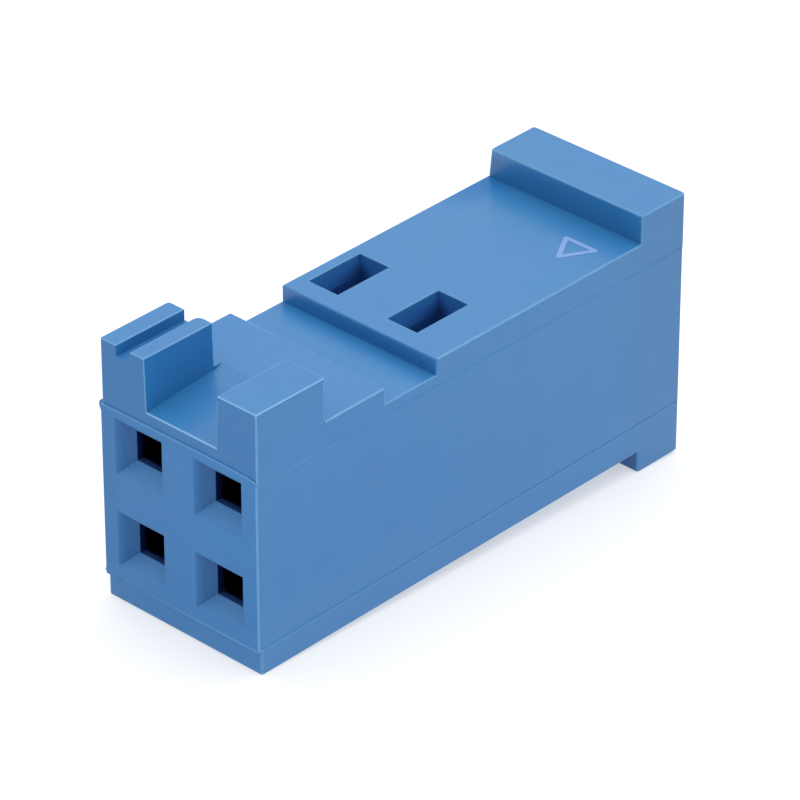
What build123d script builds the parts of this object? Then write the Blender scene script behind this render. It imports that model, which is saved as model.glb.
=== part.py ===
from build123d import *
import os

os.makedirs("parts", exist_ok=True)

# Crimp-contact receptacle housing, two rows of two ways, one moulding in blue
# thermoplastic. Millimetres.
# Origin: centre of the mating face, midway between the four pin openings.
# +X across the columns, +Y from the mating face to the wire entry, +Z up.

# ---- pitch grid ------------------------------------------------------------
pitch = 2.54                 # both between the two columns and the two rows

# ---- outer envelope --------------------------------------------------------
body_w = 5.02                # width of the middle tier, X
length = 14.80               # mating face to the rear of the upper tier
z_bot = -3.05                # underside of the body
z_low = z_bot + 0.675        # lower parting line
z_up = z_bot + 5.15          # upper parting line at the sides
z_top = z_bot + 5.865        # main top face, and the front platform's top
z_dip = z_bot + 5.43         # sunk strip between platform and main top
z_post = z_bot + 7.025       # top of the two front posts
z_rib = z_bot + 6.64         # top of the rear top rib
z_foot = z_bot - 0.60        # underside of the rear bottom rib

# ---- mould-parting steps ---------------------------------------------------
up_in = 0.035                # upper tier stands back at the front and on -X
up_in_right = 0.010          # and hardly at all on +X
up_rear = 0.06               # and stands proud of the middle tier at the rear
low_in_left = 0.02           # lower tier stands back on -X
low_out_right = 0.015        # and a hair proud on +X
low_in_front = 0.075         # and stands back at the front
low_rise = 0.02, 0.135       # height of its upper line above z_low, front and rear
ease_mid = 0.012             # eased upper edge of the middle tier
# in front the upper line runs higher, slightly crowned: X, height above z_up
front_line = ((-2.475, 0.128), (0.90, 0.150), (2.10, 0.128), (2.40, 0.100), (2.465, 0.065))
bead_out = 0.09              # rounded flash bead along the upper line, -X side
bead_r = 0.18
bead_up = 0.045              # its centre lies this much above z_up
lip_out = 0.02               # thin lip at the foot of the middle tier, in front
lip_h = 0.05
lip_drop = 0.035             # and its underside is this much below the line
lip_slope = 24               # degrees, so that the lip runs out into the wall
flare_out = 0.035            # taller flare at the same height on the -X side
flare_h = 0.24
flare_slope = 9

# ---- stations along the length --------------------------------------------
y_post = 2.25                # back of the posts
y_plat = 4.25                # back of the platform
y_step = 5.97                # foot of the big step
y_rib = 13.20                # front of the top rib
y_foot = 13.25               # front of the bottom rib

# ---- posts and the channel between them ------------------------------------
chan_l_top, chan_l_bot = -1.060, -1.025   # left wall of the channel, drafted
chan_r_top, chan_r_bot = 1.285, 1.225     # right wall of the channel, drafted
chan_front = z_bot + 5.615   # channel floor at the front
chan_back = z_bot + 5.79     # channel floor between the backs of the posts
chan_ramp = 0.26             # length of the short ramp from there to the platform
notch_l, notch_r = -1.965, -1.510         # groove along the left post's top
notch_z = z_bot + 6.73

# ---- pin openings in the mating face ---------------------------------------
fun_out = 1.52               # funnel mouth, square
fun_in = 0.82                # funnel throat, square
fun_d = 0.35                 # funnel depth, 45 degrees
throat_d = 0.24              # straight square throat behind the funnel
ease_out, ease_d, ease_slope = 0.015, 0.015, 45   # eased rim of the mouth

# ---- contact cavities ------------------------------------------------------
cav_w, cav_h = 1.80, 1.36    # section of each cavity
cav_r = 0.08                 # its corners
cav_lead = 0.10              # lead-in at the wire entry

# ---- lance windows ---------------------------------------------------------
win_w, win_y0, win_y1 = 0.95, 6.55, 8.31
win_off = -0.40              # the upper pair stands off centre towards -X

# ---- edge radii ------------------------------------------------------------
r_edge = 0.05                # outer edges
r_corner = 0.055             # profile corners seen from the side
r_thin = 0.03                # rims and inner upright edges of posts and rib
r_rib = 0.055                # top rim of the rear rib
r_rib_left = 0.09            # upright edges at the rib's -X end
rib_draft = 0.085            # how far that end leans in at its top
r_rear = 0.10                # upright edge at the rear, +X side
r_low = 0.08                 # upright edges of the lower tier
r_window = 0.02              # rims of the lance windows
# rear left upright edges of the three stumps that the posts form, which are
# rounder than the others
r_stump_outer, r_stump_inner, r_stump_right = 0.09, 0.17, 0.15

x_left = -body_w / 2 + up_in
x_right = body_w / 2 - up_in_right
y_up = up_in                 # front face of the upper tier
y_mid_rear = length - up_rear
z_join = z_up - 0.40         # the upper tier is rooted inside the middle one


def span(lo, hi):
    return (lo + hi) / 2, hi - lo


def at(value, target, tol=2e-3):
    return abs(value - target) < tol


def post_section(left_top, left_bot, right_top, right_bot):
    """Section of a post on the XZ plane, with walls drafted as the channel's."""
    def wall(top, bot, z):
        return bot + (top - bot) * (z - chan_front) / (z_post - chan_front)

    return (
        (wall(left_top, left_bot, z_join), z_join),
        (wall(left_top, left_bot, z_post), z_post),
        (wall(right_top, right_bot, z_post), z_post),
        (wall(right_top, right_bot, z_join), z_join),
    )


def uprights(part, x, y):
    """The upright edges near x at exactly y that rise past the main top."""
    found = []
    for e in part.edges():
        b = e.bounding_box()
        if b.min.X - 0.03 < x < b.max.X + 0.03 and b.max.X - b.min.X < 0.12:
            if at(b.min.Y, y) and at(b.max.Y, y) and b.min.Z < z_top and b.max.Z > z_top + 0.5:
                found.append(e)
    return found


# ---- left post, split into two stumps by a groove along its top ------------
with BuildPart() as left_post:
    with BuildSketch(Plane.XZ.offset(-y_up)):
        with BuildLine():
            Polyline(*post_section(x_left, x_left, chan_l_top, chan_l_bot), close=True)
        make_face()
    extrude(amount=-(y_post - y_up))
    fillet(uprights(left_post, x_left, y_up), r_edge)
    fillet(uprights(left_post, x_left, y_post), r_stump_outer)
    fillet(uprights(left_post, chan_l_top, y_up), r_thin)
    fillet(uprights(left_post, chan_l_top, y_post), r_thin)
    cx, dx = span(notch_l, notch_r)
    with BuildSketch(Plane.XY.offset(notch_z)):
        with Locations((cx, y_post / 2)):
            Rectangle(dx, y_post + 1)
    extrude(amount=1, mode=Mode.SUBTRACT)
    inner = [
        e for e in left_post.edges()
        if at(e.bounding_box().min.X, notch_r) and at(e.bounding_box().max.X, notch_r)
        and at(e.bounding_box().min.Y, y_post) and at(e.bounding_box().max.Y, y_post)
    ]
    fillet(inner, r_stump_inner)
    fillet(left_post.edges().filter_by_position(Axis.Z, z_post - 0.001, z_post + 0.001), r_thin)
print("left post", round(left_post.part.volume, 3), left_post.part.is_valid)

# ---- right post ------------------------------------------------------------
with BuildPart() as right_post:
    with BuildSketch(Plane.XZ.offset(-y_up)):
        with BuildLine():
            Polyline(*post_section(chan_r_top, chan_r_bot, x_right, x_right), close=True)
        make_face()
    extrude(amount=-(y_post - y_up))
    fillet(uprights(right_post, x_right, y_up), r_edge)
    fillet(uprights(right_post, x_right, y_post), r_corner)
    fillet(uprights(right_post, chan_r_top, y_up), r_thin)
    fillet(uprights(right_post, chan_r_top, y_post), r_stump_right)
    fillet(right_post.edges().filter_by_position(Axis.Z, z_post - 0.001, z_post + 0.001), r_thin)
print("right post", round(right_post.part.volume, 3), right_post.part.is_valid)

# ---- rear grip rib, with the end of the upper tier below it ----------------
with BuildPart() as rear_rib:
    with BuildSketch(Plane.XZ.offset(-y_rib)):
        with BuildLine():
            Polyline(
                (x_left, z_up),
                (x_left, z_top - 0.02),
                (x_left + rib_draft, z_rib),
                (x_right, z_rib),
                (x_right, z_up),
                close=True,
            )
        make_face()
    extrude(amount=-(length - y_rib))
    for y_end in (y_rib, length):
        chain = []
        for e in rear_rib.edges():
            b = e.bounding_box()
            if b.max.X < x_left + rib_draft + 0.01 and at(b.min.Y, y_end) and at(b.max.Y, y_end):
                if b.max.Z - b.min.Z > 0.3:
                    chain.append(e)
        fillet(chain, r_rib_left)
    fillet(uprights(rear_rib, x_right, y_rib), r_corner)
    fillet(uprights(rear_rib, x_right, length), r_rear)
    fillet(rear_rib.edges().filter_by_position(Axis.Z, z_rib - 0.001, z_rib + 0.001), r_rib)
print("rear rib", round(rear_rib.part.volume, 3), rear_rib.part.is_valid)

# ---- lower tier, standing back from the middle tier at the front -----------
low_l, low_r = -body_w / 2 + low_in_left, body_w / 2 + low_out_right
with BuildPart() as lower_tier:
    cx, dx = span(low_l, low_r)
    cy, dy = span(low_in_front, y_mid_rear)
    with BuildSketch(Plane.XY.offset(z_bot)):
        with Locations((cx, cy)):
            RectangleRounded(dx, dy, r_low)
    extrude(amount=z_low + 0.2 - z_bot)
    with BuildSketch(Plane.YZ) as s_low_top:
        with BuildLine():
            Polyline(
                (low_in_front, z_low + low_rise[0]),
                (y_mid_rear, z_low + low_rise[1]),
                (y_mid_rear + 0.1, z_low + 1),
                (low_in_front - 0.1, z_low + 1),
                (low_in_front - 0.1, z_low + low_rise[0]),
                close=True,
            )
        make_face()
    extrude(amount=body_w, both=True, mode=Mode.SUBTRACT)
    fillet(lower_tier.edges().filter_by_position(Axis.Z, z_bot - 0.001, z_bot + 0.001), r_edge * 0.8)
print("lower tier", round(lower_tier.part.volume, 3), lower_tier.part.is_valid)

# ---- bottom rib at the rear ------------------------------------------------
with BuildPart() as foot_rib:
    cx, dx = span(low_l, low_r)
    cy, dy = span(y_foot, y_mid_rear)
    with BuildSketch(Plane.XY.offset(z_foot)):
        with Locations((cx, cy)):
            RectangleRounded(dx, dy, r_low)
    extrude(amount=z_low - z_foot)
    fillet(foot_rib.edges().filter_by_position(Axis.Z, z_foot - 0.001, z_foot + 0.001), r_edge)
print("foot rib", round(foot_rib.part.volume, 3), foot_rib.part.is_valid)

with BuildPart() as housing:
    # ---- upper tier: side profile of channel floor, platform, dip and main top
    with BuildSketch(Plane.YZ.offset(x_left)) as s_up:
        with BuildLine():
            Polyline(
                (y_post, z_top),
                (y_plat, z_top),
                (y_plat, z_dip),
                (y_step, z_dip),
                (y_step, z_top),
                (y_rib + 0.3, z_top),
                (y_rib + 0.3, z_join),
                (y_up, z_join),
                (y_up, chan_front),
                (y_post, chan_back),
                close=True,
            )
        make_face()
        # in this sketch X runs along the housing and Y runs up
        convex = [
            v for v in s_up.vertices()
            if at(v.Y, z_top) and (at(v.X, y_plat) or at(v.X, y_step))
        ]
        fillet(convex, r_corner)
    extrude(amount=x_right - x_left)

    # rounded edges along both side outlines, from the platform to the main top
    for x_side in (x_left, x_right):
        rim = [
            e for e in housing.edges()
            if at(e.bounding_box().min.X, x_side) and at(e.bounding_box().max.X, x_side)
            and e.bounding_box().min.Z > z_up + 0.1
            and e.bounding_box().min.Y > y_post - 0.01
        ]
        fillet(rim, r_edge)
    # short ramp from the channel's floor up to the platform
    cx, dx = span(chan_l_bot, chan_r_bot)
    with BuildSketch(Plane.YZ.offset(cx)) as s_ramp:
        with BuildLine():
            Polyline(
                (y_post - 0.001, chan_back),
                (y_post + chan_ramp, z_top),
                (y_post - 0.001, z_top + 0.05),
                close=True,
            )
        make_face()
    extrude(amount=dx / 2, both=True, mode=Mode.SUBTRACT)
    # rounded front lip of the channel's floor
    lip = [
        e for e in housing.edges()
        if at(e.bounding_box().min.Y, y_up) and at(e.bounding_box().max.Y, y_up)
        and at(e.bounding_box().min.Z, chan_front) and at(e.bounding_box().max.Z, chan_front)
    ]
    fillet(lip, r_edge * 0.8)
    # only the channel's floor reaches the front, with the posts beside it
    for x0, x1 in ((x_left - 1, chan_l_top - 0.1), (chan_r_top + 0.1, x_right + 1)):
        cx, dx = span(x0, x1)
        cy, dy = span(-1, y_post - 0.3)
        with BuildSketch(Plane.XY.offset(z_join - 0.5)):
            with Locations((cx, cy)):
                Rectangle(dx, dy)
        extrude(amount=3, mode=Mode.SUBTRACT)
    add(left_post.part)
    add(right_post.part)
    add(rear_rib.part)
    print("upper", round(housing.part.volume, 3), housing.part.is_valid, len(housing.part.solids()))

    # ---- middle tier, eased along the upper parting line
    cy, dy = span(0, y_mid_rear)
    with BuildSketch(Plane.XY.offset(z_low)) as s_mid:
        with Locations((0, cy)):
            RectangleRounded(body_w, dy, r_edge)
    extrude(amount=z_up - z_low - ease_mid)
    with BuildSketch(Plane.XY.offset(z_up - ease_mid)) as s_mid_top:
        with Locations((0, cy)):
            RectangleRounded(body_w, dy, r_edge)
    extrude(amount=ease_mid, taper=45)
    # in front the middle tier's face runs on above the line, to a narrow ledge
    # that falls back to the line at both corners
    (x_first, h_first), (x_last, h_last) = front_line[0], front_line[-1]
    with BuildSketch(Plane.XZ) as s_ledge:
        with BuildLine():
            Polyline(
                (x_first - 0.02, z_up - 0.05),
                (x_first - 0.02, z_up + h_first - 0.02),
                *[(x, z_up + h) for x, h in front_line],
                (x_last + 0.01, z_up),
                (x_last + 0.01, z_up - 0.05),
                close=True,
            )
        make_face()
    extrude(amount=-(y_up + 0.025))
    # flash bead along the upper parting line, on the -X side
    with BuildSketch(Plane.XZ.offset(-0.06)) as s_bead:
        with Locations((-body_w / 2 - bead_out + bead_r, z_up + bead_up)):
            Circle(bead_r)
    extrude(amount=-(y_mid_rear - 0.12))
    # thin lip at the foot of the middle tier in front, and a flare on -X
    cx, dx = span(-body_w / 2 + 0.02, body_w / 2 - 0.02)
    cy, dy = span(-lip_out, 0.30)
    with BuildSketch(Plane.XY.offset(z_low - lip_drop)) as s_lip:
        with Locations((cx, cy)):
            RectangleRounded(dx, dy, r_edge)
    extrude(amount=lip_h, taper=lip_slope)
    cx, dx = span(-body_w / 2 - flare_out, 0)
    cy, dy = span(0.005, y_mid_rear - 0.1)
    with BuildSketch(Plane.XY.offset(z_low)) as s_flare:
        with Locations((cx, cy)):
            RectangleRounded(dx, dy, r_edge)
    extrude(amount=flare_h, taper=flare_slope)
    print("middle", round(housing.part.volume, 3), housing.part.is_valid)

    add(lower_tier.part)
    add(foot_rib.part)
    print("lower", round(housing.part.volume, 3), housing.part.is_valid)

    # ---- pin openings: four square funnels with eased mouths, each running
    # into a straight throat
    mating = Plane((0, 0, 0), x_dir=(1, 0, 0), z_dir=(0, 1, 0))
    with BuildSketch(mating) as s_ease:
        with GridLocations(pitch, pitch, 2, 2):
            Rectangle(fun_out + 2 * ease_out, fun_out + 2 * ease_out)
    extrude(amount=ease_d, taper=ease_slope, mode=Mode.SUBTRACT)
    with BuildSketch(mating) as s_fun:
        with GridLocations(pitch, pitch, 2, 2):
            Rectangle(fun_out, fun_out)
    extrude(amount=fun_d, taper=45, mode=Mode.SUBTRACT)
    with BuildSketch(mating.offset(fun_d - 0.05)) as s_throat:
        with GridLocations(pitch, pitch, 2, 2):
            Rectangle(fun_in, fun_in)
    extrude(amount=throat_d + 0.05 + 0.1, mode=Mode.SUBTRACT)
    # ---- contact cavities, open at the wire entry with a small lead-in
    with BuildSketch(mating.offset(fun_d + throat_d)) as s_cav:
        with GridLocations(pitch, pitch, 2, 2):
            RectangleRounded(cav_w, cav_h, cav_r)
    extrude(amount=length, mode=Mode.SUBTRACT)
    wire_entry = Plane((0, y_mid_rear, 0), x_dir=(1, 0, 0), z_dir=(0, -1, 0))
    with BuildSketch(wire_entry) as s_lead:
        with GridLocations(pitch, pitch, 2, 2):
            RectangleRounded(cav_w + 2 * cav_lead, cav_h + 2 * cav_lead, cav_r + cav_lead)
    extrude(amount=cav_lead * 1.2, taper=45, mode=Mode.SUBTRACT)

    # ---- lance windows, one over each upper cavity and one under each lower
    cy, dy = span(win_y0, win_y1)
    with BuildSketch(Plane.XY.offset(z_top + 0.1)) as s_win:
        with Locations((win_off - pitch / 2, cy), (win_off + pitch / 2, cy)):
            Rectangle(win_w, dy)
    extrude(amount=-(z_top + 0.1 - pitch / 2), mode=Mode.SUBTRACT)
    with BuildSketch(Plane.XY.offset(z_bot - 0.1)) as s_win_low:
        with Locations((-win_off - pitch / 2, cy), (-win_off + pitch / 2, cy)):
            Rectangle(win_w, dy)
    extrude(amount=-pitch / 2 - z_bot + 0.1, mode=Mode.SUBTRACT)

    # softened rims of the windows
    rims = []
    for e in housing.edges():
        b = e.bounding_box()
        if (at(b.min.Z, z_top) and at(b.max.Z, z_top)) or (at(b.min.Z, z_bot) and at(b.max.Z, z_bot)):
            if b.min.Y > win_y0 - 0.01 and b.max.Y < win_y1 + 0.01:
                rims.append(e)
    fillet(rims, r_window)

housing.part.label = "housing"
export_step(housing.part, "parts/housing.step")
print("housing", round(housing.part.volume, 3), housing.part.is_valid, housing.part.bounding_box())
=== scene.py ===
import math

import bmesh
import bpy
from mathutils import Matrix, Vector


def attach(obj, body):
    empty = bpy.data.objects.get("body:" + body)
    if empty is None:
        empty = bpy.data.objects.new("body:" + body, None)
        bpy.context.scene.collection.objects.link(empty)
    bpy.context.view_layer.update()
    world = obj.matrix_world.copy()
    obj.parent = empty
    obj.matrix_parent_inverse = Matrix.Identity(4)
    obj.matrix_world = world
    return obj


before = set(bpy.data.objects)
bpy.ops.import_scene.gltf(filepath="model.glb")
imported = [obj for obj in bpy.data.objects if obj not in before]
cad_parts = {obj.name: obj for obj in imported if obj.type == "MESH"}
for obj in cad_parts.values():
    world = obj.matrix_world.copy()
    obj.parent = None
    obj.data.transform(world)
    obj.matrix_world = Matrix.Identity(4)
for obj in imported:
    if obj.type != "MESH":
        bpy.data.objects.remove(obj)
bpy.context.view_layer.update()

MM = 0.001
scene = bpy.context.scene


# ---------------------------------------------------------------- node helpers
class Tree:
    """A material's or world's node tree, with short calls for the nodes used here."""

    def __init__(self, owner):
        owner.use_nodes = True
        self.t = owner.node_tree
        self.t.nodes.clear()

    def node(self, kind, **props):
        n = self.t.nodes.new(kind)
        for k, v in props.items():
            setattr(n, k, v)
        return n

    def put(self, socket, value):
        if isinstance(value, bpy.types.NodeSocket):
            self.t.links.new(value, socket)
        else:
            socket.default_value = value

    def math(self, op, a, b=0.0, c=0.0, clamp=False):
        n = self.node("ShaderNodeMath", operation=op, use_clamp=clamp)
        for s, v in zip(n.inputs, (a, b, c)):
            self.put(s, v)
        return n.outputs[0]

    def ramp(self, value, lo, hi, to_lo=0.0, to_hi=1.0, smooth=True):
        n = self.node("ShaderNodeMapRange", clamp=True)
        n.interpolation_type = "SMOOTHSTEP" if smooth else "LINEAR"
        for name, v in zip(("Value", "From Min", "From Max", "To Min", "To Max"), (value, lo, hi, to_lo, to_hi)):
            self.put(n.inputs[name], v)
        return n.outputs["Result"]

    def noise(self, vector, scale, detail=3.0, rough=0.5, stretch=(1, 1, 1)):
        if stretch != (1, 1, 1):
            m = self.node("ShaderNodeMapping")
            self.put(m.inputs["Vector"], vector)
            m.inputs["Scale"].default_value = stretch
            vector = m.outputs[0]
        n = self.node("ShaderNodeTexNoise")
        self.put(n.inputs["Vector"], vector)
        n.inputs["Scale"].default_value = scale
        n.inputs["Detail"].default_value = detail
        n.inputs["Roughness"].default_value = rough
        return n.outputs["Fac"]

    def mix(self, fac, a, b, blend="MIX"):
        n = self.node("ShaderNodeMix", data_type="RGBA", blend_type=blend, clamp_factor=True)
        self.put(n.inputs[0], fac)
        self.put(n.inputs[6], a)
        self.put(n.inputs[7], b)
        return n.outputs[2]


def between(t, value, lo, hi, soft):
    """1 inside lo..hi, falling to 0 over the distance soft outside it."""
    up = t.ramp(value, lo - soft, lo)
    down = t.ramp(value, hi, hi + soft, 1.0, 0.0)
    return t.math("MULTIPLY", up, down)


# ------------------------------------------------------------- blue thermoplastic
BLUE = (0.0225, 0.178, 0.452, 1)       # body of the moulding
BLUE_WARM = (0.0250, 0.182, 0.442, 1)  # slow drift along the melt's flow
BLUE_FRONT_SHADE = (0.0030, 0.168, 0.468, 1)  # painted shade on the mating face
BLUE_EDGE_HIGHLIGHT = (0.155, 0.370, 0.620, 1)   # painted highlight on rounded edges
BLUE_ETCH = (0.056, 0.228, 0.515, 1)   # etched slopes of the funnels
BLUE_SIDE_SHADE = (0.0040, 0.118, 0.345, 1)  # painted shade on their side slopes
BLUE_DEEP = (0.0190, 0.090, 0.330, 1)  # painted shade on walls a little way into a hole
BLUE_WIN = (0.0420, 0.205, 0.590, 1)   # painted light on the walls of the lance windows, just under their rims
BLUE_THROAT = (0.0050, 0.014, 0.075, 1)  # painted shade on the upright walls of the pin throats
BLUE_SILL = (0.0300, 0.080, 0.260, 1)  # painted shade on the floors of the pin throats
BLUE_DARK = (0.0016, 0.0018, 0.014, 1)  # painted shade in the contact cavities

PITCH = 2.54 * MM
OPEN = 0.95 * MM       # half a cavity's reach, with a margin, about its axis
Z_UP = 2.100 * MM      # upper parting line at the sides
Z_LOW = -2.355 * MM    # lower parting line on +X, where it leaves the front


def moulded_blue():
    m = bpy.data.materials.new("blue_thermoplastic")
    t = Tree(m)
    coord = t.node("ShaderNodeTexCoord")
    obj = coord.outputs["Object"]
    xyz = t.node("ShaderNodeSeparateXYZ")
    t.put(xyz.inputs[0], obj)
    x, y, z = xyz.outputs
    nrm = t.node("ShaderNodeSeparateXYZ")
    t.put(nrm.inputs[0], coord.outputs["Normal"])
    sx, sy, sz = nrm.outputs
    nx, ny, nz = (t.math("ABSOLUTE", o) for o in nrm.outputs)

    def mul(*fs):
        out = fs[0]
        for f in fs[1:]:
            out = t.math("MULTIPLY", out, f)
        return out

    def inv(f):
        return t.math("SUBTRACT", 1.0, f)

    # distance from the nearest pin axis, across and up
    ax = t.math("ABSOLUTE", t.math("SUBTRACT", t.math("ABSOLUTE", x), PITCH / 2))
    az = t.math("ABSOLUTE", t.math("SUBTRACT", t.math("ABSOLUTE", z), PITCH / 2))
    near_axis = mul(t.ramp(ax, OPEN, OPEN + 0.01 * MM, 1, 0), t.ramp(az, OPEN, OPEN + 0.01 * MM, 1, 0))

    # flow drift, mottling and soft speckle of the colour
    drift = t.noise(obj, 170.0, 2.0, 0.5, stretch=(1, 0.45, 1))
    mottle = t.noise(obj, 1300.0, 3.0, 0.5)
    speck = t.noise(obj, 7000.0, 2.0, 0.5)
    col = t.mix(t.ramp(drift, 0.35, 0.65), BLUE, BLUE_WARM)
    # painted shade: the front face a little deeper in tone than the body
    col = t.mix(mul(t.ramp(sy, -0.9, -0.98), t.ramp(y, 0.2 * MM, 0.12 * MM)), col, BLUE_FRONT_SHADE)
    level = t.math("ADD", t.ramp(mottle, 0.25, 0.75, 0.98, 1.02, False), t.ramp(speck, 0.2, 0.8, -0.012, 0.012, False))
    bright = t.node("ShaderNodeCombineXYZ")
    for s in bright.inputs:
        t.put(s, level)
    col = t.mix(1.0, col, bright.outputs[0], "MULTIPLY")

    # painted light: upward faces made a little paler
    col = t.mix(mul(t.ramp(sz, 0.9, 0.98), 0.10), col, (0.0725, 0.238, 0.382, 1))

    # painted light: the foot of the wide sides is a shade lighter, against the floor's contact shade
    low_side = mul(t.ramp(nx, 0.9, 0.98), t.ramp(z, -0.6 * MM, -3.0 * MM))
    col = t.mix(mul(low_side, 0.38), col, (0.060, 0.220, 0.500, 1))

    # painted light: the lower front is lighter, against the floor's contact shade
    low_front = mul(t.ramp(sy, -0.9, -0.98), t.ramp(y, 0.2 * MM, 0.12 * MM), t.ramp(z, -1.6 * MM, -3.0 * MM))
    col = t.mix(mul(low_front, 0.8), col, (0.030, 0.205, 0.500, 1))

    # painted shade: the front face darker at the posts and towards -X
    on_front = mul(t.ramp(sy, -0.9, -0.98), t.ramp(y, 0.2 * MM, 0.12 * MM))
    post_shade = mul(t.ramp(z, 2.2 * MM, 2.3 * MM), t.ramp(x, 0.5 * MM, -0.9 * MM, 0.08, 0.14))
    side_shade = t.math("MAXIMUM", t.ramp(x, -1.5 * MM, -2.2 * MM, 0.0, 0.12), t.ramp(x, 0.8 * MM, -0.6 * MM, 0.0, 0.06))
    col = t.mix(mul(on_front, t.math("MAXIMUM", post_shade, side_shade)), col, (0.0, 0.0, 0.02, 1))
    col = t.mix(mul(t.ramp(sx, 0.9, 0.98), t.ramp(y, 11.5 * MM, 14.4 * MM), 0.09), col, (0.02, 0.02, 0.0, 1))
    # painted shade on the bottom rib's front face, under the housing
    foot = mul(t.ramp(sy, -0.9, -0.98), t.ramp(y, 13.0 * MM, 13.2 * MM), t.ramp(z, -3.02 * MM, -3.10 * MM))
    col = t.mix(mul(foot, 0.45), col, (0.004, 0.060, 0.160, 1))

    # painted shadow of the rear rib on the top by its -X end; it also lowers the specular there
    rib_shadow = mul(t.ramp(sz, 0.9, 0.98), t.ramp(y, 10.8 * MM, 12.7 * MM), t.ramp(y, 13.25 * MM, 13.2 * MM), t.ramp(x, -1.3 * MM, -2.2 * MM))
    col = t.mix(mul(rib_shadow, 0.85), col, (0.016, 0.160, 0.425, 1))

    # painted highlight: the rear rib's and the step's front faces pale towards their rounded upper rims
    rib_rim = mul(t.ramp(sy, -0.85, -0.95), between(t, y, 13.15 * MM, 13.23 * MM, 0.01 * MM), t.ramp(z, 3.30 * MM, 3.56 * MM), t.ramp(x, 2.2 * MM, -1.6 * MM, 0.10, 0.55))
    step_soft = mul(t.ramp(sy, -0.85, -0.95), between(t, y, 5.93 * MM, 6.0 * MM, 0.01 * MM), t.ramp(z, 2.58 * MM, 2.78 * MM), 0.5)
    col = t.mix(t.math("MAXIMUM", rib_rim, step_soft), col, (0.075, 0.290, 0.600, 1))
    # painted light: the channel floor's end behind the posts and its incline up to the platform a shade lighter
    chan_end = mul(t.ramp(sz, 0.90, 0.94), between(t, y, 1.85 * MM, 2.12 * MM, 0.10 * MM), t.ramp(x, 0.7 * MM, -0.2 * MM), t.ramp(z, 2.82 * MM, 2.81 * MM))
    col = t.mix(mul(chan_end, 0.12), col, (0.060, 0.260, 0.580, 1))
    incline = mul(t.ramp(sz, 0.90, 0.94), between(t, y, 2.26 * MM, 2.50 * MM, 0.02 * MM), t.ramp(x, 0.3 * MM, -0.7 * MM), t.ramp(z, 2.82 * MM, 2.81 * MM))
    col = t.mix(mul(incline, 0.10), col, (0.034, 0.400, 0.750, 1))

    # funnels: side slopes in painted shade, deepest towards the throat; upper and lower slopes etched
    in_mouth = mul(near_axis, t.ramp(y, 0.40 * MM, 0.42 * MM, 1, 0), t.ramp(ny, 0.97, 0.93))
    etch = t.noise(obj, 9000.0, 2.0, 0.6)
    col = t.mix(mul(in_mouth, t.ramp(nx, 0.45, 0.6), t.ramp(y, 0.0, 0.16 * MM, 0.35, 1.0)), col, BLUE_SIDE_SHADE)
    col = t.mix(mul(in_mouth, t.ramp(nz, 0.45, 0.6), t.ramp(etch, 0.3, 0.7, 0.7, 1.0)), col, BLUE_ETCH)

    # painted highlight on rounded edges: their normals lean away from the three main directions;
    # the highlight is strongest at the posts and fades towards the rear rib
    lean = t.math("MAXIMUM", t.math("MAXIMUM", nx, ny), nz)
    edge = mul(t.ramp(lean, 0.995, 0.95), inv(mul(near_axis, t.ramp(y, 0.40 * MM, 0.42 * MM, 1, 0))))
    upright = t.ramp(nz, 0.32, 0.12)
    dip = between(t, y, 4.27 * MM, 5.96 * MM, 0.02 * MM)
    behind = t.ramp(sy, 0.25, 0.45)
    along = t.math("MULTIPLY", t.ramp(y, 2.3 * MM, 13.5 * MM, 1.0, 0.70, False), t.ramp(y, 2.3 * MM, 4.0 * MM, 1.0, 0.86))
    strength = mul(along, t.math("SUBTRACT", 1.0, mul(upright, 0.20)), t.math("SUBTRACT", 1.0, mul(behind, 0.25)))
    step_rim = mul(between(t, y, 5.97 * MM, 6.08 * MM, 0.01 * MM), t.ramp(sy, -0.15, -0.35))
    ramp_zone = mul(between(t, y, 2.24 * MM, 2.52 * MM, 0.01 * MM), t.ramp(sz, 0.90, 0.93), t.ramp(ax, 0.62 * MM, 0.60 * MM, 1, 1))
    under = t.ramp(sz, -0.15, -0.35)
    bead = mul(t.ramp(x, -2.512 * MM, -2.522 * MM), 0.75)
    strength = mul(strength, inv(mul(step_rim, 0.85)), inv(ramp_zone), t.math("SUBTRACT", 1.0, mul(dip, 0.30)), t.math("SUBTRACT", 1.0, mul(under, 0.8)), inv(bead))
    # the painted edge highlight stays off the parting lines' own rims
    up_line = mul(t.ramp(x, 2.488 * MM, 2.494 * MM), between(t, z, Z_UP - 0.018 * MM, Z_UP + 0.006 * MM, 0.004 * MM), t.ramp(y, 1.5 * MM, 4.5 * MM, 0.55, 1.0))
    low_lip = mul(t.ramp(y, 0.30 * MM, 0.06 * MM), between(t, z, -2.44 * MM, -2.33 * MM, 0.01 * MM), t.ramp(x, -2.4 * MM, 2.3 * MM, 0.95, 0.55), t.ramp(nx, 0.5, 0.3))
    low_front_edge = mul(t.ramp(z, -2.38 * MM, -2.44 * MM), 0.35)
    strength = mul(strength, inv(up_line), inv(low_lip), inv(low_front_edge))
    highlight_noise = t.ramp(t.noise(obj, 2500.0, 2.0, 0.5), 0.3, 0.7, 0.8, 1.0)
    col = t.mix(mul(edge, highlight_noise, strength), col, BLUE_EDGE_HIGHLIGHT)
    # painted highlight, brighter still, on the right post's top rims and the channel's front lip
    crest = t.math("MAXIMUM", mul(t.ramp(z, 3.90 * MM, 3.94 * MM), t.ramp(x, 1.0 * MM, 1.2 * MM)), mul(t.ramp(y, 0.10 * MM, 0.08 * MM), between(t, z, 2.50 * MM, 2.60 * MM, 0.02 * MM), t.ramp(nx, 0.3, 0.15)))
    col = t.mix(mul(edge, strength, crest, t.ramp(sy, 0.3, -0.1, 0.25, 0.55)), col, (0.270, 0.520, 0.820, 1))
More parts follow.
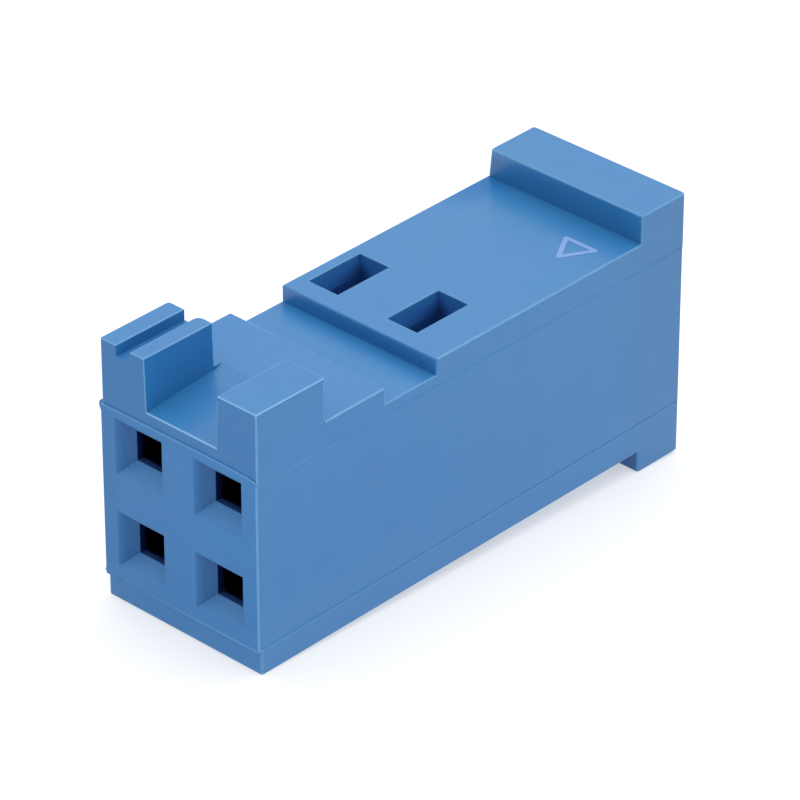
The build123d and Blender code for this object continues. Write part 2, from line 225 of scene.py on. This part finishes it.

    # painted highlights along the parting lines' narrow ledges and rims
    front_z = Z_UP
    for x0, x1, h0, h1 in ((-2.475, 0.90, 0.128, 0.150), (0.90, 2.10, 0.0, -0.022), (2.10, 2.40, 0.0, -0.028), (2.40, 2.465, 0.0, -0.035)):
        front_z = t.math("ADD", t.ramp(x, x0 * MM, x1 * MM, h0 * MM, h1 * MM, False), front_z)
    below = t.math("SUBTRACT", front_z, z)
    low_z = t.ramp(y, 0.075 * MM, 14.74 * MM, Z_LOW, Z_LOW + 0.115 * MM, False)
    under_low = t.math("SUBTRACT", low_z, z)
    near_front = t.ramp(y, 0.045 * MM, 0.038 * MM)
    front_ledge = mul(near_front, t.ramp(nz, 0.3, 0.6), between(t, below, -0.012 * MM, 0.012 * MM, 0.004 * MM))
    front_rim = mul(t.ramp(y, 0.012 * MM, 0.006 * MM), between(t, below, 0.0, 0.014 * MM, 0.008 * MM), 0.40)
    side_ledge = mul(t.ramp(x, 2.490 * MM, 2.495 * MM), between(t, z, Z_UP - 0.016 * MM, Z_UP + 0.003 * MM, 0.004 * MM), t.ramp(y, 5.0 * MM, 2.0 * MM, 0.0, 0.16))
    lip_ledge = mul(t.ramp(y, 0.004 * MM, 0.0), t.ramp(ny, 0.97, 0.90), between(t, z, -2.42 * MM, -2.35 * MM, 0.005 * MM), t.ramp(x, -2.4 * MM, 0.5 * MM, 0.0, 0.12))
    low_ledge = mul(t.ramp(x, 2.500 * MM, 2.505 * MM), between(t, under_low, -0.004 * MM, 0.024 * MM, 0.008 * MM), t.ramp(y, 0.1 * MM, 12.0 * MM, 0.38, 0.26))
    ledge = t.math("MAXIMUM", t.math("MAXIMUM", mul(front_ledge, 1.0), front_rim), t.math("MAXIMUM", side_ledge, t.math("MAXIMUM", lip_ledge, low_ledge)))
    col = t.mix(ledge, col, (0.145, 0.380, 0.660, 1))
    col = t.mix(mul(front_ledge, 0.35), col, (0.300, 0.520, 0.780, 1))

    # painted shade: holes darken with depth, pin throats and cavities from the front,
    # cavities from the wire entry, lance windows from the top and below
    front = t.ramp(y, 0.36 * MM, 0.62 * MM)
    rear = t.ramp(y, 14.2 * MM, 11.0 * MM)
    off = t.math("ABSOLUTE", t.math("SUBTRACT", t.math("ABSOLUTE", t.math("ADD", x, 0.40 * MM)), PITCH / 2))
    off_low = t.math("ABSOLUTE", t.math("SUBTRACT", t.math("ABSOLUTE", t.math("SUBTRACT", x, 0.40 * MM)), PITCH / 2))
    win_y = between(t, y, 6.53 * MM, 8.33 * MM, 0.01 * MM)
    # where the windows let light in, the painted cavity shade is held back
    lit_top = mul(between(t, y, 6.4 * MM, 8.6 * MM, 1.2 * MM), t.ramp(z, 0.5 * MM, 1.7 * MM))
    lit_low = mul(between(t, y, 6.4 * MM, 8.6 * MM, 1.2 * MM), t.ramp(z, -0.5 * MM, -1.7 * MM))
    lit = t.math("MAXIMUM", lit_top, lit_low)
    depth = mul(front, rear, near_axis)
    win_top = mul(t.ramp(off, 0.50 * MM, 0.51 * MM, 1, 0), t.ramp(z, 2.70 * MM, 1.9 * MM), t.ramp(z, 0, 0.1 * MM))
    win_low = mul(t.ramp(off_low, 0.50 * MM, 0.51 * MM, 1, 0), t.ramp(z, -2.95 * MM, -2.2 * MM), t.ramp(z, 0, -0.1 * MM))
    win = mul(win_y, t.math("MAXIMUM", win_top, win_low))
    # painted shade in the windows' far corners and on their walls towards -X
    win_corner = mul(t.ramp(y, 7.2 * MM, 8.31 * MM), t.ramp(y, 8.36 * MM, 8.34 * MM), t.ramp(z, 2.72 * MM, 2.05 * MM), t.ramp(z, 0, 0.1 * MM), t.ramp(off, 0.50 * MM, 0.51 * MM, 1, 0), t.ramp(sy, -0.2, -0.5, 1.0, 0.0))
    to_left = mul(t.ramp(t.math("SUBTRACT", t.math("ADD", x, 0.40 * MM), t.math("MULTIPLY", t.math("SIGN", t.math("ADD", x, 0.40 * MM)), PITCH / 2)), 0.0, -0.475 * MM), t.ramp(sy, -0.2, -0.5), t.ramp(z, 2.75 * MM, 2.15 * MM), win_y, t.ramp(z, 0, 0.1 * MM))
    # painted light along the window walls just under their rims
    rim_glow = mul(win_y, t.ramp(off, 0.50 * MM, 0.51 * MM, 1, 0), t.ramp(z, 2.60 * MM, 2.80 * MM), t.ramp(nz, 0.5, 0.3))
    col = t.mix(mul(rim_glow, 0.5), col, (0.060, 0.240, 0.560, 1))
    col = t.mix(mul(win_y, t.ramp(off, 0.50 * MM, 0.51 * MM, 1, 0), t.ramp(z, 2.78 * MM, 2.60 * MM), t.ramp(z, 0, 0.1 * MM)), col, BLUE_WIN)
    col = t.mix(mul(win, 0.14), col, BLUE_DEEP)
    col = t.mix(mul(t.math("MAXIMUM", win_corner, to_left), 0.80), col, (0.006, 0.022, 0.120, 1))
    col = t.mix(t.ramp(depth, 0.0, 0.45), col, BLUE_DEEP)
    throat = mul(near_axis, t.ramp(y, 0.352 * MM, 0.375 * MM), t.ramp(y, 0.62 * MM, 0.58 * MM))
    col = t.mix(mul(throat, t.ramp(nx, 0.4, 0.6)), col, BLUE_THROAT)
    col = t.mix(mul(throat, t.ramp(nz, 0.4, 0.6)), col, BLUE_SILL)
    col = t.mix(mul(t.ramp(depth, 0.35, 1.0), inv(mul(lit, 0.92))), col, BLUE_DARK)

    # satin roughness, a little more matt in patches
    patch = t.noise(obj, 900.0, 3.0, 0.5)
    rough = t.math("ADD", t.ramp(patch, 0.3, 0.7, 0.29, 0.36), mul(edge, -0.06))
    rough = t.math("ADD", rough, mul(in_mouth, 0.15))

    # spark-eroded grain of the tool, with faint draw marks along the sides
    grain = t.noise(obj, 12000.0, 2.0, 0.55)
    drag = t.noise(obj, 3000.0, 2.0, 0.5, stretch=(1, 1, 0.08))
    height = t.math("ADD", mul(grain, 0.7), mul(drag, 0.3))
    bump = t.node("ShaderNodeBump")
    bump.inputs["Strength"].default_value = 0.22
    bump.inputs["Distance"].default_value = 0.005 * MM
    t.put(bump.inputs["Height"], height)

    p = t.node("ShaderNodeBsdfPrincipled")
    t.put(p.inputs["Base Color"], col)
    t.put(p.inputs["Roughness"], rough)
    t.put(p.inputs["Specular IOR Level"], t.ramp(rib_shadow, 0.0, 1.0, 0.5, 0.22))
    t.put(p.inputs["Normal"], bump.outputs[0])
    p.inputs["IOR"].default_value = 1.5
    p.inputs["Subsurface Weight"].default_value = 0.08
    p.inputs["Subsurface Radius"].default_value = (0.4, 0.8, 1.0)
    p.inputs["Subsurface Scale"].default_value = 0.25 * MM
    out = t.node("ShaderNodeOutputMaterial")
    t.put(out.inputs["Surface"], p.outputs[0])
    return m


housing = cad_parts["housing"]
blue = moulded_blue()
housing.data.materials.clear()
housing.data.materials.append(blue)
for poly in housing.data.polygons:
    poly.material_index = 0


# -------------------------------------------------- printed way-one triangle
def pale_ink():
    m = bpy.data.materials.new("pale_ink")
    t = Tree(m)
    obj = t.node("ShaderNodeTexCoord").outputs["Object"]
    worn = t.noise(obj, 9000.0, 4.0, 0.6)
    col = t.mix(t.ramp(worn, 0.35, 0.75), (0.185, 0.330, 0.640, 1), (0.140, 0.290, 0.590, 1))
    bump = t.node("ShaderNodeBump")
    bump.inputs["Strength"].default_value = 0.25
    bump.inputs["Distance"].default_value = 0.003 * MM
    t.put(bump.inputs["Height"], t.noise(obj, 22000.0, 3.0, 0.6))
    p = t.node("ShaderNodeBsdfPrincipled")
    t.put(p.inputs["Base Color"], col)
    t.put(p.inputs["Roughness"], t.ramp(worn, 0.2, 0.8, 0.45, 0.6))
    t.put(p.inputs["Normal"], bump.outputs[0])
    out = t.node("ShaderNodeOutputMaterial")
    t.put(out.inputs["Surface"], p.outputs[0])
    return m


def triangle_outline(name, cx, cy, reach, stroke, z0, thick, turn):
    """A closed thin ring with three rounded corners: the outline of a triangle."""
    outer, inner = [], []
    for k in range(3):
        a = turn + k * 2 * math.pi / 3
        corner = Vector((math.cos(a), math.sin(a)))
        for ring, r, round_r in ((outer, reach, stroke * 0.55), (inner, reach - 2 * stroke, stroke * 0.12)):
            c = corner * (r - 2 * round_r)
            for s in range(9):
                b = a - math.pi / 3 + s * (2 * math.pi / 3) / 8
                ring.append((cx + c.x + round_r * math.cos(b), cy + c.y + round_r * math.sin(b)))
    bm = bmesh.new()
    rows = []
    for ring in (outer, inner):
        for z in (z0, z0 + thick):
            rows.append([bm.verts.new((px, py, z)) for px, py in ring])
    ob, ot, ib, it = rows
    n = len(outer)
    for i in range(n):
        j = (i + 1) % n
        bm.faces.new((ob[i], ob[j], ot[j], ot[i]))
        bm.faces.new((ib[j], ib[i], it[i], it[j]))
        bm.faces.new((ot[i], ot[j], it[j], it[i]))
        bm.faces.new((ob[j], ob[i], ib[i], ib[j]))
    bmesh.ops.recalc_face_normals(bm, faces=bm.faces)
    mesh = bpy.data.meshes.new(name)
    bm.to_mesh(mesh)
    bm.free()
    ob = bpy.data.objects.new(name, mesh)
    scene.collection.objects.link(ob)
    return ob


mark = triangle_outline("way_one_mark", 1.42 * MM, 11.95 * MM, 0.66 * MM, 0.125 * MM, 2.811 * MM, 0.010 * MM, -math.pi / 2)
mark.data.materials.append(pale_ink())
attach(mark, "root")


# ------------------------------------------------------------------------ stage
def pale_floor():
    m = bpy.data.materials.new("pale_floor")
    t = Tree(m)
    obj = t.node("ShaderNodeTexCoord").outputs["Object"]
    soft = t.noise(obj, 60.0, 3.0, 0.5)
    p = t.node("ShaderNodeBsdfPrincipled")
    t.put(p.inputs["Base Color"], t.mix(soft, (0.545, 0.545, 0.550, 1), (0.560, 0.560, 0.565, 1)))
    p.inputs["Roughness"].default_value = 0.75
    p.inputs["Specular IOR Level"].default_value = 0.2
    p.inputs["Emission Color"].default_value = (1, 1, 1, 1)
    p.inputs["Emission Strength"].default_value = 0.48
    out = t.node("ShaderNodeOutputMaterial")
    t.put(out.inputs["Surface"], p.outputs[0])
    return m


bm = bmesh.new()
bmesh.ops.create_circle(bm, cap_ends=True, segments=96, radius=3.0)
floor_mesh = bpy.data.meshes.new("floor")
bm.to_mesh(floor_mesh)
bm.free()
floor = bpy.data.objects.new("floor", floor_mesh)
# it meets the housing's lower front edge and the front edge of the bottom rib
floor.location = (0, 0.115 * MM, -3.052 * MM)
floor.rotation_euler = (-0.04547, 0, 0)
floor_mesh.materials.append(pale_floor())
scene.collection.objects.link(floor)

world = bpy.data.worlds.new("studio")
scene.world = world
w = Tree(world)
ray = w.node("ShaderNodeTexCoord").outputs["Generated"]
sep = w.node("ShaderNodeSeparateXYZ")
w.put(sep.inputs[0], ray)
rise = sep.outputs[2]


def glow(direction, spread, strength):
    """A soft round light in the dome, brightest towards direction."""
    n = w.node("ShaderNodeVectorMath", operation="DOT_PRODUCT")
    w.put(n.inputs[0], ray)
    n.inputs[1].default_value = tuple(Vector(direction).normalized())
    fall = w.math("EXPONENT", w.math("MULTIPLY", w.math("SUBTRACT", n.outputs["Value"], 1.0), spread))
    return w.math("MULTIPLY", fall, strength)


dome = w.ramp(rise, -0.10, -0.06, 0.0, 0.212)
overhead = w.math("MULTIPLY", w.math("POWER", w.math("MAXIMUM", rise, 0.0), 4.0), 1.795)
total = w.math("ADD", dome, overhead)
for direction, spread, strength in (
    ((-1, 0, 0.45), 4, 0.926),
    ((1, 0, 0.45), 4, 0.546),
    ((0, 1, 0.45), 4, 1.06),
    ((0, -1, 0.45), 4, 0.026),
    ((-0.581, -0.524, 0.622), 20, 0.056),
    ((0.524, 0.622, 0.581), 20, 0.058),
):
    total = w.math("ADD", total, glow(direction, spread, strength))
bg = w.node("ShaderNodeBackground")
bg.inputs["Color"].default_value = (1, 1, 1, 1)
w.put(bg.inputs["Strength"], total)
w.put(w.node("ShaderNodeOutputWorld").inputs["Surface"], bg.outputs[0])

EYE = Vector((73.943, -71.807, 66.761)) * MM
LOOK = Vector((-0.58099, 0.62244, -0.52442))
cam_data = bpy.data.cameras.new("camera")
cam_data.sensor_width = 36
cam_data.lens = 241.05
cam_data.clip_start = 0.005
cam_data.clip_end = 20
cam = bpy.data.objects.new("camera", cam_data)
cam.location = EYE
cam.rotation_euler = LOOK.to_track_quat("-Z", "Y").to_euler()
scene.collection.objects.link(cam)
scene.camera = cam

scene.view_settings.view_transform = "Standard"
scene.view_settings.look = "None"
